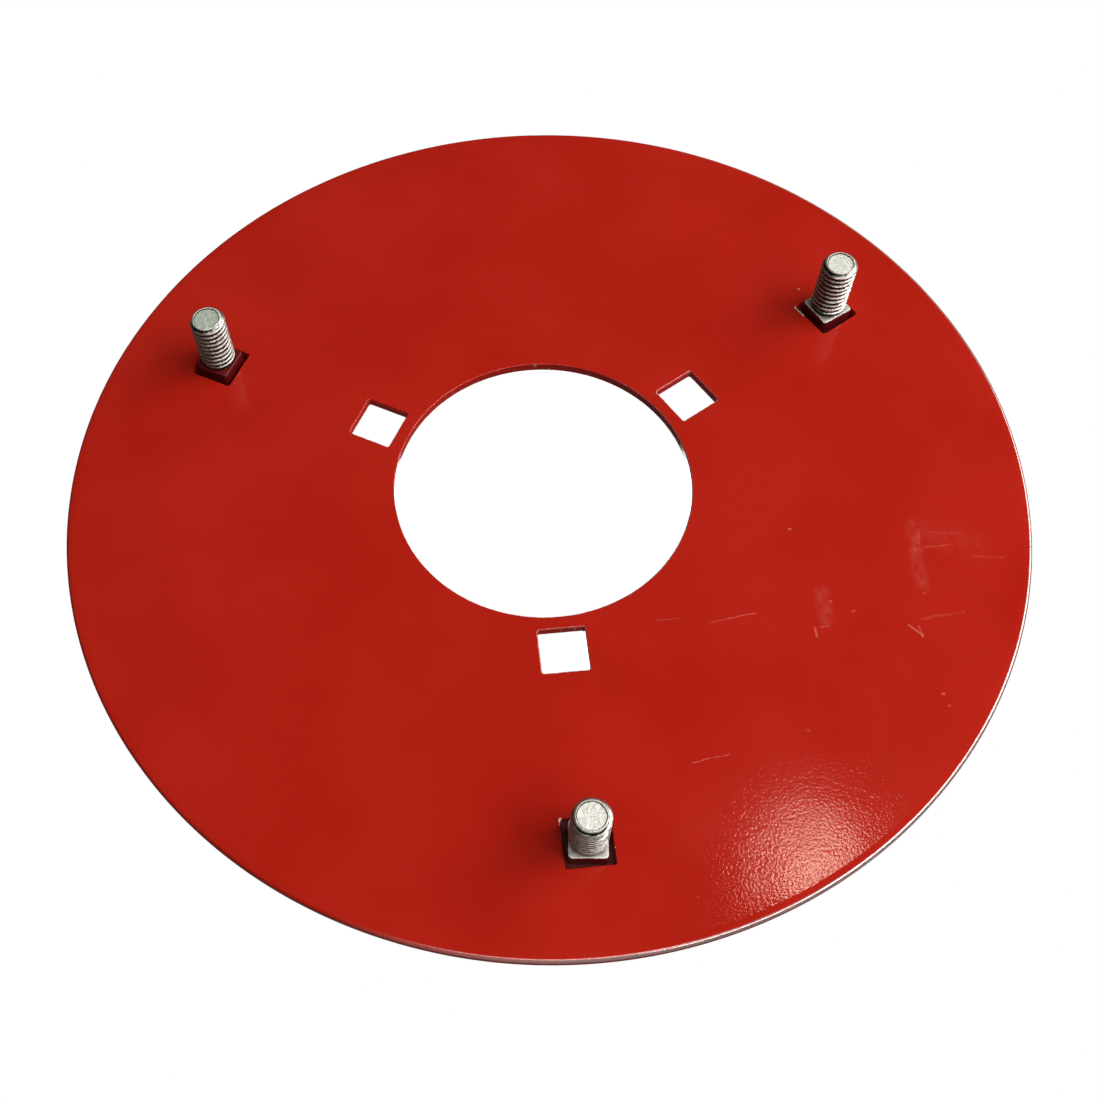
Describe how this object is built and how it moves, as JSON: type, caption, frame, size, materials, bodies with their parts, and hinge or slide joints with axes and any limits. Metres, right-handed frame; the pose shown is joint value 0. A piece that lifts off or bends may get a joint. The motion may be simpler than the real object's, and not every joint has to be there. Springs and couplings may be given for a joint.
{
  "type": "ring flange plate",
  "caption": "Thin round red steel flange plate with a large centre opening, square holes around it, and loose square-neck bolts standing near the rim as studs.",
  "frame": {"origin": "centre of the opening, on the face that the bolts stand out of", "axes": "+Z along the opening's axis, the way the bolts stand; one bolt and one inner square hole lie on -Y, and the others follow every 120 degrees"},
  "size_m": [0.254, 0.254, 0.0266],
  "materials": {
    "red_paint": "semi-gloss powder coat",
    "zinc": "dull zinc plating"
  },
  "bodies": {
    "plate": {"flange_plate": "red_paint"},
    "bolt_1": {"carriage_bolt_1": "zinc"},
    "bolt_2": {"carriage_bolt_2": "zinc"},
    "bolt_3": {"carriage_bolt_3": "zinc"}
  },
  "joints": [
    {"name": "bolt_1_slide", "type": "slide", "parent": "plate", "child": "bolt_1", "axis": [0, 0, 1], "range_m": [-0.03, 0]},
    {"name": "bolt_2_slide", "type": "slide", "parent": "plate", "child": "bolt_2", "axis": [0, 0, 1], "range_m": [-0.03, 0]},
    {"name": "bolt_3_slide", "type": "slide", "parent": "plate", "child": "bolt_3", "axis": [0, 0, 1], "range_m": [-0.03, 0]}
  ]
}
